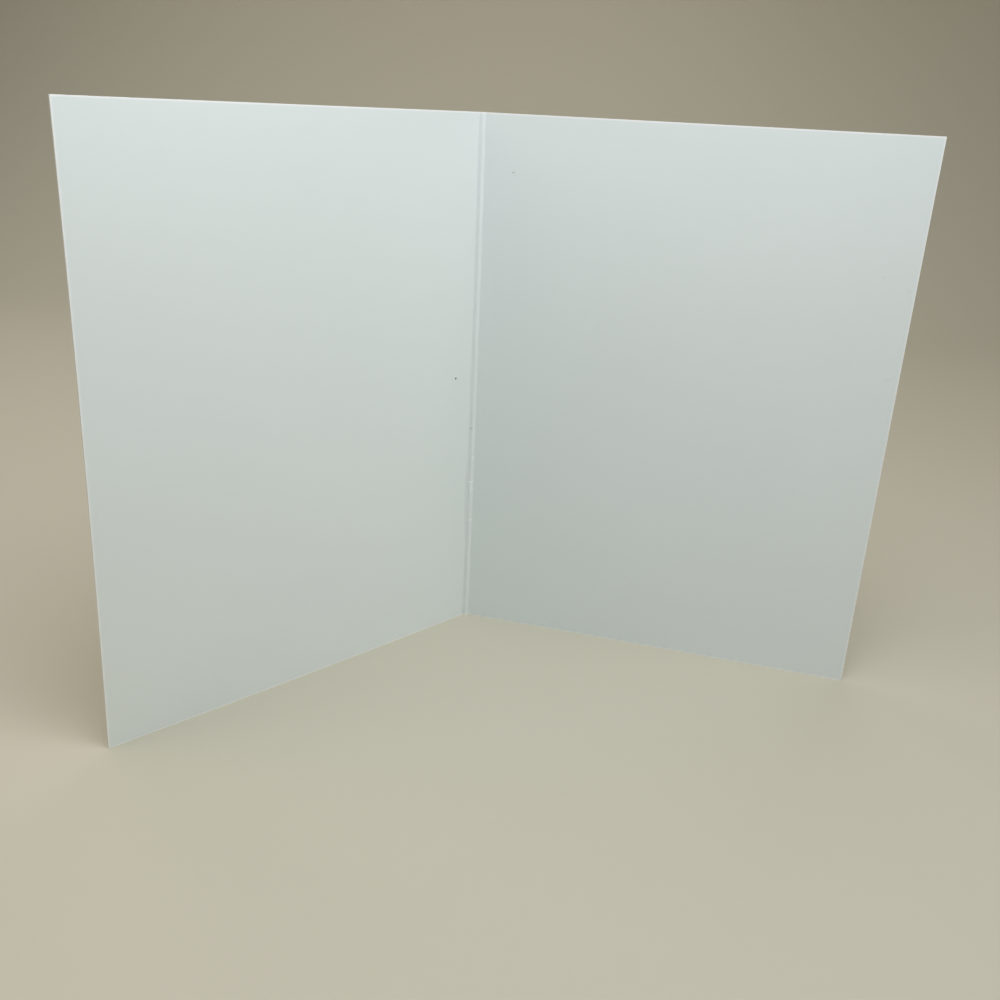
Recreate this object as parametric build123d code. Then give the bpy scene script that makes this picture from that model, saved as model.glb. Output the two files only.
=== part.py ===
from build123d import *
from math import cos, radians, sin
import os

# A blank greeting card: one sheet of coated board, scored and folded down its middle,
# standing open like a V. Millimetres. The origin is the middle of the card's footprint. +Z runs
# up the fold and the V opens towards -Y, so +X is to the right of whoever reads the card.

# Sheet
panel_width = 107.95  # 4.25 in, from the fold to a free edge
panel_height = 139.7  # 5.5 in, along the fold
board_thickness = 0.4

# Stance
opening_angle = 120.0  # between the two panels

# Curl of the board. Each panel turns a little about the fold, by other angles at its foot,
# its middle and its head, and its section rises by its belly between the fold and the free edge.
# Turns are in degrees, and both are positive towards the reader.
left_turn_at_foot = -1.7
left_turn_at_middle = 0.4
left_turn_at_head = 1.3
right_turn_at_foot = 0.5
right_turn_at_middle = -0.3
right_turn_at_head = -0.2
left_belly = 0.4
right_belly = -0.1

# Crease, pressed from the outside: a rounded bead stands up inside, with a groove behind it.
# Each reach runs along the board, from the corner where the faces of the panels would meet.
bead_reach = 1.0
bead_height = 0.48  # of its crest above the line between its two feet
bead_crest_radius = 0.35
bead_foot_radius = 0.25
groove_reach = 0.75
groove_depth = 0.46  # of its floor below the line between its two lips
groove_floor_radius = 0.2
groove_lip_radius = 0.2
crease_shoulder = 0.6  # straight board left beside the bead and the groove


def panel_axes(side, turn):
    """The way a panel runs from the fold, and the way its inside faces. Side is -1 for the left."""
    angle = radians(opening_angle / 2 - turn)
    along = Vector(side * sin(angle), -cos(angle))
    inward = Vector(-side * cos(angle), -sin(angle))
    return along, inward


def panel_curve(start, end, inward, belly):
    """A shallow curve from start to end that rises by the belly at its middle."""
    middle = (start + end) / 2
    return Bezier(start, middle + inward * (2 * belly), end)


def crease_line(corner, left, right, towards_reader, reach, rise, radii):
    """The line across the crease from left to right: two feet with a crest between them."""
    left_foot = corner + left * reach
    right_foot = corner + right * reach
    crest = (left_foot + right_foot) / 2 + towards_reader * rise
    start = left_foot + left * crease_shoulder
    end = right_foot + right * crease_shoulder
    return FilletPolyline(start, left_foot, crest, right_foot, end, radius=radii)


def section(left_turn, right_turn):
    """The outline of the board at one height, as a face, with the fold at the origin."""
    left, left_inward = panel_axes(-1, left_turn)
    right, right_inward = panel_axes(1, right_turn)
    both = left_inward + right_inward
    towards_reader = both.normalized()
    half = board_thickness / 2
    inner_corner = both * (half / (1 + left_inward.dot(right_inward)))
    bead_radii = [bead_foot_radius, bead_crest_radius, bead_foot_radius]
    groove_radii = [groove_lip_radius, groove_floor_radius, groove_lip_radius]

    bead = crease_line(
        inner_corner, left, right, towards_reader, bead_reach, bead_height, bead_radii
    )
    groove = crease_line(
        -inner_corner, left, right, towards_reader, groove_reach, groove_depth, groove_radii
    )
    left_end, left_half = left * panel_width, left_inward * half
    right_end, right_half = right * panel_width, right_inward * half

    # along the inside from left to right, round the right free edge and back along the outside
    return make_face(
        [
            panel_curve(left_end + left_half, bead @ 0, left_inward, left_belly),
            bead,
            panel_curve(bead @ 1, right_end + right_half, right_inward, right_belly),
            Line(right_end + right_half, right_end - right_half),
            panel_curve(right_end - right_half, groove @ 1, right_inward, right_belly),
            groove,
            panel_curve(groove @ 0, left_end - left_half, left_inward, left_belly),
            Line(left_end - left_half, left_end + left_half),
        ]
    )


def folded_card():
    """The folded sheet, lofted through its outlines at the foot, the middle and the head."""
    foot = section(left_turn_at_foot, right_turn_at_foot)
    middle = section(left_turn_at_middle, right_turn_at_middle)
    head = section(left_turn_at_head, right_turn_at_head)
    card = loft([foot, Pos(0, 0, panel_height / 2) * middle, Pos(0, 0, panel_height) * head])
    centre = card.bounding_box().center()
    return Pos(-centre.X, -centre.Y, 0) * card


os.makedirs("parts", exist_ok=True)
export_step(folded_card(), "parts/folded_card.step")
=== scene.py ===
import math

import bpy
import numpy as np
from mathutils import Matrix, Vector


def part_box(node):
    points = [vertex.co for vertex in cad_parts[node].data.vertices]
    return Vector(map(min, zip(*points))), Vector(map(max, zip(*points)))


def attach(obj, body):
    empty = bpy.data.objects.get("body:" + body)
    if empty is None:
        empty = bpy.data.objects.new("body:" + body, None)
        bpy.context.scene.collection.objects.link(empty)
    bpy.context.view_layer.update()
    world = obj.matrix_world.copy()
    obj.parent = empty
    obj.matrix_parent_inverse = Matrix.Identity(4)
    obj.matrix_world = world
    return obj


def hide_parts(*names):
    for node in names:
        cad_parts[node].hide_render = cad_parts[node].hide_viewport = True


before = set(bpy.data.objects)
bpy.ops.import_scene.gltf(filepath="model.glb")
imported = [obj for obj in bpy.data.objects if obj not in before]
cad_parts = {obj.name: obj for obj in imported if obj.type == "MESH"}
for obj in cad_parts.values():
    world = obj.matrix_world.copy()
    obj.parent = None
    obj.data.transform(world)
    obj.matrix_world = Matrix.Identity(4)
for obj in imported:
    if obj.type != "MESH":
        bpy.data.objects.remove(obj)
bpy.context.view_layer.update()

mm = 0.001

# The folded sheet, its fold at the origin until it is put in place. Angles in degrees.
# Turns and bellies are positive towards the reader.
cardShape = {
    "node": "folded_card",
    "panelWidth": 107.95 * mm,
    "thickness": 0.4 * mm,
    "opening": 120.0,
    "leftTurns": (-1.7, 0.4, 1.3),  # about the fold, at the foot, the middle and the head
    "rightTurns": (0.5, -0.3, -0.2),
    "leftBelly": 0.4 * mm,
    "rightBelly": -0.1 * mm,
    "foldSway": (0.15 * mm, 0.02 * mm, -0.4 * mm),  # how far right the fold is, at the same heights
    "beadReach": 1.0 * mm,  # along the board from the corner of the two faces
    "beadHeight": 0.48 * mm,
    "beadRadii": (0.25 * mm, 0.35 * mm, 0.25 * mm),
    "grooveReach": 0.75 * mm,
    "grooveDepth": 0.46 * mm,
    "grooveRadii": (0.2 * mm, 0.2 * mm, 0.2 * mm),
    "shoulder": 0.6 * mm,
    "edgeRound": 0.05 * mm,  # the knife leaves the cut edges a little soft
    "roundSteps": 4,
    "arcSteps": 9,  # points on each arc of the crease
    "panelSteps": 76,
    "creaseSteps": 49,
    "heightSteps": 150,
}


def panelAxes(side, turn):
    # unit vectors: along the panel away from the fold, and out of its inside face
    angle = math.radians(cardShape["opening"] / 2 - turn)
    along = np.array([side * math.sin(angle), -math.cos(angle)])
    inward = np.array([-side * math.cos(angle), -math.sin(angle)])
    return along, inward


def roundedLine(corners, radii, steps):
    # straight runs joined by tangent arcs, then points at even steps of its length;
    # an arc of turn f is centre + (sin((1-t)f) * first spoke + sin(tf) * last spoke) / sin f
    t = np.linspace(0, 1, cardShape["arcSteps"])[:, None]
    runs = [corners[:1]]
    for before, corner, after, radius in zip(corners, corners[1:], corners[2:], radii):
        arrive = (corner - before) / np.linalg.norm(corner - before)
        leave = (after - corner) / np.linalg.norm(after - corner)
        turn = math.acos(arrive @ leave)
        start = corner - arrive * radius * math.tan(turn / 2)
        end = corner + leave * radius * math.tan(turn / 2)
        bisector = (leave - arrive) / np.linalg.norm(leave - arrive)
        centre = corner + bisector * radius / math.cos(turn / 2)
        first, last = start - centre, end - centre
        runs.append(centre + (np.sin((1 - t) * turn) * first + np.sin(t * turn) * last) / math.sin(turn))
    runs.append(corners[-1:])
    line = np.concatenate(runs)
    along = np.concatenate([[0], np.cumsum(np.linalg.norm(np.diff(line, axis=0), axis=1))])
    at = np.linspace(0, along[-1], steps)
    return np.stack([np.interp(at, along, line[:, 0]), np.interp(at, along, line[:, 1])], axis=1)


def creaseLine(corner, left, right, towardsReader, reach, rise, radii):
    # from the left shoulder over the crest to the right shoulder
    leftFoot, rightFoot = corner + left * reach, corner + right * reach
    crest = (leftFoot + rightFoot) / 2 + towardsReader * rise
    shoulder = cardShape["shoulder"]
    leftEnd, rightEnd = leftFoot + left * shoulder, rightFoot + right * shoulder
    corners = np.array([leftEnd, leftFoot, crest, rightFoot, rightEnd])
    return roundedLine(corners, radii, cardShape["creaseSteps"])


def outline(leftTurn, rightTurn, sway):
    # what fixes the board's section at one height: the crease lines, the free ends and the facings
    left, leftInward = panelAxes(-1, leftTurn)
    right, rightInward = panelAxes(1, rightTurn)
    both = leftInward + rightInward
    towardsReader = both / np.linalg.norm(both)
    half = cardShape["thickness"] / 2
    innerCorner = both * half / (1 + leftInward @ rightInward)
    bead = creaseLine(innerCorner, left, right, towardsReader,
                      cardShape["beadReach"], cardShape["beadHeight"], cardShape["beadRadii"])
    groove = creaseLine(-innerCorner, left, right, towardsReader,
                        cardShape["grooveReach"], cardShape["grooveDepth"], cardShape["grooveRadii"])
    width, aside = cardShape["panelWidth"], np.array([sway, 0])
    return {
        "crease": (bead + aside, groove + aside),
        "leftEnd": (left * width + leftInward * half, left * width - leftInward * half),
        "rightEnd": (right * width + rightInward * half, right * width - rightInward * half),
        "leftInward": leftInward,
        "rightInward": rightInward,
    }


def panelPoints(end, shoulder, inward, belly, atEdge):
    # stations at the given distances from the free end, then even steps to the shoulder; a point at
    # share t of the way is on the chord between them, raised by 4 t (1 - t) bellies
    chord, clear = np.linalg.norm(shoulder - end), 2 * cardShape["edgeRound"]
    beyond = np.linspace(clear, chord, cardShape["panelSteps"]) * np.ones((len(atEdge), 1))
    t = np.concatenate([atEdge, beyond], axis=1)[..., None] / chord
    return end * (1 - t) + shoulder * t + inward * belly * 4 * t * (1 - t)


def boardPoints(face, atEdge, heights, height):
    # one face of the board, 0 inside or 1 outside, as rows of points from the left edge to the right:
    # three outlines blended by the parabola through foot, middle and head
    v = (heights / height)[:, None, None]
    weights = ((1 - v) * (1 - 2 * v), 4 * v * (1 - v), v * (2 * v - 1))
    total = 0
    turns = zip(cardShape["leftTurns"], cardShape["rightTurns"], cardShape["foldSway"])
    for weight, levelTurns in zip(weights, turns):
        level = outline(*levelTurns)
        crease, leftEnd, rightEnd = level["crease"][face], level["leftEnd"][face], level["rightEnd"][face]
        left = panelPoints(leftEnd, crease[0], level["leftInward"], cardShape["leftBelly"], atEdge)
        right = panelPoints(rightEnd, crease[-1], level["rightInward"], cardShape["rightBelly"], atEdge)
        middle = np.broadcast_to(crease[1:-1], (len(heights),) + crease[1:-1].shape)
        total = total + weight * np.concatenate([left, middle, right[:, ::-1]], axis=1)
    return total


def roundShares(steps):
    # the quarter round of an edge, from its cut side to its face: how far it still is from each, in radii
    angle = np.linspace(math.pi / 2, 0, steps + 1)
    return 1 - np.sin(angle), 1 - np.cos(angle)


def buildCard():
    low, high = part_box(cardShape["node"])
    height, radius = high.z - low.z, cardShape["edgeRound"]
    alongShare, acrossShare = roundShares(cardShape["roundSteps"])

    # heights, and how far the rounded foot and head draw the outline in
    foot = alongShare * radius
    plain = np.linspace(2 * radius, height - 2 * radius, cardShape["heightSteps"])
    heights = np.concatenate([foot, plain, height - foot[::-1]])
    across = acrossShare * radius
    drawn = np.concatenate([across, np.zeros(len(plain)), across[::-1]])[:, None]

    # the rounded stations beside a free edge, and how far each station is drawn into the board
    atEdge = drawn + (radius - drawn) * alongShare
    inset = drawn + (radius - drawn) * np.concatenate([acrossShare, np.zeros(cardShape["panelSteps"])])
    crease = drawn * np.ones((1, cardShape["creaseSteps"] - 2))
    inset = np.concatenate([inset, crease, inset[:, ::-1]], axis=1)[..., None]

    inside = boardPoints(0, atEdge, heights, height)
    outside = boardPoints(1, atEdge, heights, height)
    through = outside - inside
    through /= np.linalg.norm(through, axis=2, keepdims=True)
    inside, outside = inside + through * inset, outside - through * inset

    rows, stations = inside.shape[:2]
    ring = np.concatenate([inside, outside[:, ::-1]], axis=1)
    points = np.concatenate([ring, np.broadcast_to(heights[:, None, None], ring.shape[:2] + (1,))], axis=2)
    points = points.reshape(-1, 3)
    centre = (points.min(0) + points.max(0)) / 2
    boxCentre = np.array((low + high) / 2)
    place = np.array([boxCentre[0] - centre[0], boxCentre[1] - centre[1], low.z])
    points = points + place

    # the skin goes round every ring and up; quads between the two faces close the foot and the head
    around = 2 * stations
    j, k = np.meshgrid(np.arange(rows - 1), np.arange(around), indexing="ij")
    nextK = (k + 1) % around
    below, above = j * around, (j + 1) * around
    skin = np.stack([below + k, below + nextK, above + nextK, above + k], -1)
    i = np.arange(stations - 1)
    footCap = np.stack([i + 1, i, around - 1 - i, around - 2 - i], -1)
    headCap = footCap[:, ::-1] + (rows - 1) * around
    faces = np.concatenate([skin.reshape(-1, 4), footCap, headCap])

    # coating on the two faces, bare board on the rounded edges, the cut sides and the caps; the slots
    # are in the order in which the materials are added below
    insideCoat, outsideCoat, bareCut = 0, 1, 2
    n = cardShape["roundSteps"]
    plainRow = (j >= n) & (j < rows - 1 - n)
    onInside = plainRow & (k >= n) & (k < stations - 1 - n)
    onOutside = plainRow & (k >= stations + n) & (k < around - 1 - n)
    slot = np.full(len(faces), bareCut)
    slot[: skin.size // 4][onInside.ravel()] = insideCoat
    slot[: skin.size // 4][onOutside.ravel()] = outsideCoat

    # how far each station is from the crest of the bead, along the board
    middleRow = inside[rows // 2]
    along = np.concatenate([[0], np.cumsum(np.linalg.norm(np.diff(middleRow, axis=0), axis=1))])
    along -= along[stations // 2]
    board = np.stack([np.tile(np.concatenate([along, along[::-1]]), rows), np.repeat(heights, around)], -1)

    mesh = bpy.data.meshes.new("foldedCard")
    mesh.from_pydata(points.tolist(), [], faces.tolist())
    mesh.polygons.foreach_set("material_index", slot.astype(np.int32))
    mesh.polygons.foreach_set("use_smooth", np.ones(len(faces), bool))
    corners = np.zeros(len(mesh.loops), np.int32)
    mesh.loops.foreach_get("vertex_index", corners)
    boardMap = mesh.uv_layers.new(name="boardMap")
    boardMap.uv.foreach_set("vector", board[corners].astype(np.float32).ravel())
    mesh.validate()
    mesh.update()
    piece = bpy.data.objects.new("foldedCard", mesh)
    bpy.context.scene.collection.objects.link(piece)
    return piece, Vector(place), abs(along).max(), height


cardPiece, foldFoot, boardReach, boardHeight = buildCard()
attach(cardPiece, "root")
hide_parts(cardShape["node"])
print("card built:", len(cardPiece.data.polygons), "faces, fold at", [round(x / mm, 3) for x in foldFoot])


class Flow:
    # a value in a shader tree: arithmetic on it adds Math nodes
    def __init__(self, tree, socket=None):
        self.tree = tree
        self.socket = socket

    def node(self, kind, settings=None, sockets=None, output=0):
        # settings first, because they decide which sockets there are
        made = self.tree.nodes.new("ShaderNode" + kind)
        for name, value in (settings or {}).items():
            setattr(made, name, value)
        for name, value in (sockets or {}).items():
            if isinstance(value, Flow):
                self.tree.links.new(value.socket, made.inputs[name])
            else:
                made.inputs[name].default_value = value
        return Flow(self.tree, made.outputs[output] if made.outputs else None)

    def maths(self, operation, first, second=0.0):
        return self.node("Math", {"operation": operation}, {0: first, 1: second})

    def __add__(self, other):
        return self.maths("ADD", self, other)

    def __radd__(self, other):
        return self.maths("ADD", other, self)

    def __sub__(self, other):
        return self.maths("SUBTRACT", self, other)

    def __rsub__(self, other):
        return self.maths("SUBTRACT", other, self)

    def __mul__(self, other):
        return self.maths("MULTIPLY", self, other)

    def __truediv__(self, other):
        return self.maths("DIVIDE", self, other)


def newMaterial(name):
    material = bpy.data.materials.new(name)
    material.use_nodes = True
    material.node_tree.nodes.clear()
    return material, Flow(material.node_tree)


def finishMaterial(material, start, sockets):
    shader = start.node("BsdfPrincipled", {}, sockets)
    start.node("OutputMaterial", {}, {"Surface": shader})
    return material


def mixColours(first, second, share):
    # sockets 0, 6 and 7 are the factor and the two colours, and output 2 is the colour
    start = next(value for value in (share, first, second) if isinstance(value, Flow))
    return start.node("Mix", {"data_type": "RGBA"}, {0: share, 6: first, 7: second}, 2)


def fade(value, start, end):
    # one below the start and nought past the end, easing between
    sockets = {"Value": value, "From Min": start, "From Max": end, "To Min": 1.0, "To Max": 0.0}
    return value.node("MapRange", {"interpolation_type": "SMOOTHSTEP"}, sockets)


def noise(vector, size, detail=2.0, rough=0.5):
    # blotches about the given size across, from nought to one
    sockets = {"Vector": vector, "Scale": 1 / size, "Detail": detail, "Roughness": rough}
    return vector.node("TexNoise", {}, sockets)


# The satin white coat on both faces.
coating = {
    "colour": (0.76, 0.818, 0.795, 1.0),
    "cloudColour": (0.74, 0.8, 0.779, 1.0),  # what it drifts to over a few centimetres
    "cloudSize": 34 * mm,
    "edgeHighlightColour": (0.91, 0.93, 0.91, 1.0),  # painted highlight: the lighter strip beside each cut edge
    "edgeHighlightWidth": 0.55 * mm,
    "roughness": 0.4,
    "roughnessSpread": 0.1,
    "grainSize": 0.5 * mm,  # of the fibres that show faintly through the coat
    "grainStretch": 0.4,  # up the board, as a scale: less is longer
    "grainHeight": 0.0012 * mm,
    "smearSize": 9 * mm,  # of the patches where the coat is a little duller
    "raggedSize": 0.3 * mm,  # what makes the marks' outlines uneven
    "raggedAlong": 0.25 * mm,
    "raggedUp": 0.18 * mm,
    "markFade": (0.35, 1.4),  # where a mark starts to fade and is gone, in squared reaches
}

# What the inside face shows: specks, flecks and scuffs, a darker spot and a strip of painted shade at the
# bead, and lighter flecks on the bead. Places and reaches are in mm: along the board from the crest of the
# bead, to the right, and up from the foot. Turns are in degrees.
darkInk, greyDust = (0.02, 0.02, 0.02, 1.0), (0.2, 0.21, 0.2, 1.0)
# grey for the scuffs and for the painted shade at the bead; pale for the lighter flecks on the bead
rubAndShade, paleFleck = (0.5, 0.53, 0.51, 1.0), (0.9, 0.965, 0.93, 1.0)
marks = {
    "blackSpeck": {"at": (-6.59, 72.91), "reach": (0.32, 0.27), "turn": 20, "colour": darkInk, "share": 1.0},
    "greyFleck": {"at": (8.6, 125.94), "reach": (0.38, 0.18), "turn": 0, "colour": greyDust, "share": 0.45},
    "faintFleck": {"at": (9.12, 125.3), "reach": (0.25, 0.16), "turn": 10, "colour": greyDust, "share": 0.15},
    "scuffAtEdge": {"at": (106.2, 105.1), "reach": (0.45, 0.28), "turn": 30, "colour": rubAndShade, "share": 0.22},
    "scuffUpper": {"at": (100.0, 107.8), "reach": (0.7, 0.3), "turn": -15, "colour": rubAndShade, "share": 0.13},
    "scuffMiddle": {"at": (105.4, 83.4), "reach": (0.9, 0.28), "turn": 5, "colour": rubAndShade, "share": 0.16},
    # a small darker spot on the bead
    "beadDarkSpot": {"at": (-0.35, 58.0), "reach": (0.4, 0.24), "turn": 0, "colour": rubAndShade, "share": 0.6},
    # painted shade: a darker strip along the bead's left foot
    "beadFootShade": {"at": (-1.35, 37.5), "reach": (0.5, 11.0), "turn": 0, "colour": rubAndShade, "share": 0.17},
    # lighter flecks and ticks on the bead
    "beadPaleSpot": {"at": (0.65, 49.4), "reach": (0.28, 0.4), "turn": 0, "colour": paleFleck, "share": 0.85},
    "beadTick": {"at": (0.1, 42.2), "reach": (0.95, 0.26), "turn": 4, "colour": paleFleck, "share": 0.75},
    "beadPaleStreak": {"at": (0.15, 40.4), "reach": (0.28, 1.4), "turn": 0, "colour": paleFleck, "share": 0.7},
    "beadSideTick": {"at": (1.05, 39.9), "reach": (0.5, 0.2), "turn": 20, "colour": paleFleck, "share": 0.5},
    "beadLowTick": {"at": (0.2, 30.6), "reach": (0.8, 0.26), "turn": -3, "colour": paleFleck, "share": 0.55},
}


def markShare(along, height, mark):
    # an ellipse: the square of the distance from its middle, each way in its own reach
    turn = math.radians(mark["turn"])
    right = along - mark["at"][0] * mm
    up = height - mark["at"][1] * mm
    first = (right * math.cos(turn) + up * math.sin(turn)) / (mark["reach"][0] * mm)
    second = (up * math.cos(turn) - right * math.sin(turn)) / (mark["reach"][1] * mm)
    return fade(first * first + second * second, *coating["markFade"]) * mark["share"]


def coatedBoard(name, boardReach, boardHeight, ownMarks):
    material, start = newMaterial(name)
    board = start.node("UVMap", {"uv_map": "boardMap"})
    along = board.node("SeparateXYZ", {}, {0: board}, 0)
    height = board.node("SeparateXYZ", {}, {0: board}, 1)

    cloud = noise(board, coating["cloudSize"], 1.0)
    colour = mixColours(coating["colour"], coating["cloudColour"], cloud)

    # how far the nearest cut edge is
    fromSide = boardReach - along.maths("ABSOLUTE", along)
    fromEnd = along.maths("MINIMUM", height, boardHeight - height)
    # painted highlight: the coat is made lighter in a strip beside each cut edge
    edgeHighlight = fade(along.maths("MINIMUM", fromSide, fromEnd), 0.0, coating["edgeHighlightWidth"])
    colour = mixColours(colour, coating["edgeHighlightColour"], edgeHighlight)

    ragged = noise(board, coating["raggedSize"], 2.0) - 0.5
    raggedAlong = along + ragged * coating["raggedAlong"]
    raggedHeight = height + ragged * coating["raggedUp"]
    # each mark in turn, the painted shade at the bead's left foot among them
    for mark in ownMarks.values():
        colour = mixColours(colour, mark["colour"], markShare(raggedAlong, raggedHeight, mark))

    smear = noise(board, coating["smearSize"], 3.0, 0.6)
    roughness = coating["roughness"] + (smear - 0.5) * coating["roughnessSpread"]

    scale = (1.0, coating["grainStretch"], 1.0)
    stretched = board.node("Mapping", {}, {"Vector": board, "Scale": scale})
    grain = noise(stretched, coating["grainSize"], 3.0, 0.6)
    bump = {"Strength": 1.0, "Distance": coating["grainHeight"], "Height": grain}
    normal = start.node("Bump", {}, bump)
    return finishMaterial(material, start, {"Base Color": colour, "Roughness": roughness, "Normal": normal})


# The bare board that the knife leaves at the four edges.
cutBoard = {
    "colour": (0.86, 0.87, 0.84, 1.0),
    "fibreColour": (0.78, 0.8, 0.76, 1.0),
    "fibreSize": 0.15 * mm,
    "fibreHeight": 0.004 * mm,
    "roughness": 0.85,
}


def bareBoard(name):
    material, start = newMaterial(name)
    place = start.node("TexCoord", {}, {}, "Object")
    fibres = noise(place, cutBoard["fibreSize"], 3.0, 0.7)
    colour = mixColours(cutBoard["colour"], cutBoard["fibreColour"], fibres)
    bump = {"Strength": 1.0, "Distance": cutBoard["fibreHeight"], "Height": fibres}
    normal = start.node("Bump", {}, bump)
    sockets = {"Base Color": colour, "Roughness": cutBoard["roughness"], "Normal": normal}
    return finishMaterial(material, start, sockets)


for material in (
    coatedBoard("coatedInside", boardReach, boardHeight, marks),
    coatedBoard("coatedOutside", boardReach, boardHeight, {}),
    bareBoard("cutEdge"),
):
    cardPiece.data.materials.append(material)
print("card materials made")

# A plain pale paper sweep, square to the way the camera looks: flat floor, round bend, upright back.
sweep = {
    "behindFold": 0.42,  # where the floor starts to bend
    "bend": 0.3,
    "bendSteps": 25,
    "front": 1.6,
    "halfWidth": 6.0,
    "top": 1.6,
    "colour": (0.594, 0.558, 0.44, 1.0),
    "roughness": 0.9,
}
camera = {
    "fromFold": (-63.47 * mm, -261.55 * mm, 142.03 * mm),
    "heading": 15.551,  # degrees clockwise from +Y
    "pitch": -21.372,
    "roll": 2.912,
    "lens": 36.494,  # in mm, as the sensor's width is
    "sensorWidth": 36,
    "clipStart": 0.01,
}


def sweepPaper(name):
    material, start = newMaterial(name)
    return finishMaterial(material, start, {"Base Color": sweep["colour"], "Roughness": sweep["roughness"]})


def buildSweep():
    # a profile of floor, quarter circle and back, carried sideways and turned to the camera's heading
    start, bend = sweep["behindFold"], sweep["bend"]
    angle = np.linspace(-math.pi / 2, 0, sweep["bendSteps"])
    across = np.array([-sweep["halfWidth"], sweep["halfWidth"]])
    depth = np.concatenate([[-sweep["front"]], start + bend * np.cos(angle), [start + bend]])
    rise = np.concatenate([[0], bend + bend * np.sin(angle), [sweep["top"]]])

    u, d = np.meshgrid(across, depth, indexing="ij")
    heading = math.radians(camera["heading"])
    x = u * math.cos(heading) + d * math.sin(heading)
    y = d * math.cos(heading) - u * math.sin(heading)
    z = rise * np.ones((len(across), 1))
    points = np.stack([foldFoot.x + x, foldFoot.y + y, z], -1).reshape(-1, 3)
    n = len(depth)
    i, k = np.meshgrid(np.arange(len(across) - 1), np.arange(n - 1), indexing="ij")
    faces = np.stack([i * n + k, (i + 1) * n + k, (i + 1) * n + k + 1, i * n + k + 1], -1).reshape(-1, 4)

    mesh = bpy.data.meshes.new("sweep")
    mesh.from_pydata(points.tolist(), [], faces.tolist())
    mesh.polygons.foreach_set("use_smooth", np.ones(len(faces), bool))
    mesh.update()
    piece = bpy.data.objects.new("sweep", mesh)
    bpy.context.scene.collection.objects.link(piece)
    mesh.materials.append(sweepPaper("sweepPaper"))
    return piece


buildSweep()
print("sweep built")


def addCamera():
    data = bpy.data.cameras.new("camera")
    data.sensor_width = camera["sensorWidth"]
    data.sensor_fit = "HORIZONTAL"
    data.lens = camera["lens"]
    data.clip_start = camera["clipStart"]
    item = bpy.data.objects.new("camera", data)
    bpy.context.scene.collection.objects.link(item)
    turn = Matrix.Rotation(-math.radians(camera["heading"]), 4, "Z")
    turn = turn @ Matrix.Rotation(math.pi / 2 + math.radians(camera["pitch"]), 4, "X")
    turn = turn @ Matrix.Rotation(math.radians(camera["roll"]), 4, "Z")
    item.matrix_world = Matrix.Translation(foldFoot + Vector(camera["fromFold"])) @ turn
    bpy.context.scene.camera = item


addCamera()

# Soft round lamps, each aimed at the middle of the fold: degrees round from the front towards the
# right, degrees up, metres away, width in metres, power in watts and tint.
aimHeight = 70 * mm
lamps = {
    "overFront": {"round": 0, "up": 58, "away": 0.3, "width": 0.2, "power": 0.62, "tint": (0.86, 0.91, 1.0)},
    "right": {"round": 50, "up": 15, "away": 0.9, "width": 0.6, "power": 1.5, "tint": (1.0, 0.96, 0.89)},
    "left": {"round": -90, "up": 40, "away": 0.6, "width": 0.5, "power": 0.83, "tint": (1.0, 0.86, 0.74)},
    "backRight": {"round": 150, "up": 45, "away": 0.7, "width": 0.5, "power": 0.8, "tint": (1.0, 1.0, 1.0)},
    "backLeft": {"round": -150, "up": 45, "away": 0.7, "width": 0.5, "power": 0.8, "tint": (1.0, 1.0, 1.0)},
}
surround = {"colour": (1.0, 1.0, 1.0, 1.0), "strength": 0.2}


def addLamp(name, lamp):
    data = bpy.data.lights.new(name, "AREA")
    data.shape = "DISK"
    data.size = lamp["width"]
    data.energy = lamp["power"]
    data.color = lamp["tint"]
    item = bpy.data.objects.new(name, data)
    item.visible_camera = False
    bpy.context.scene.collection.objects.link(item)
    turn, rise = math.radians(lamp["round"]), math.radians(lamp["up"])
    target = foldFoot + Vector((0, 0, aimHeight))
    out = Vector((math.sin(turn) * math.cos(rise), -math.cos(turn) * math.cos(rise), math.sin(rise)))
    place = Matrix.Translation(target + out * lamp["away"])
    item.matrix_world = place @ out.to_track_quat("Z", "Y").to_matrix().to_4x4()


def addSurround():
    world = bpy.data.worlds.new("surround")
    bpy.context.scene.world = world
    world.use_nodes = True
    background = world.node_tree.nodes["Background"]
    background.inputs["Color"].default_value = surround["colour"]
    background.inputs["Strength"].default_value = surround["strength"]


for name, lamp in lamps.items():
    addLamp(name, lamp)
addSurround()
print("lamps set:", ", ".join(lamps))

bpy.context.scene.view_settings.view_transform = "Standard"
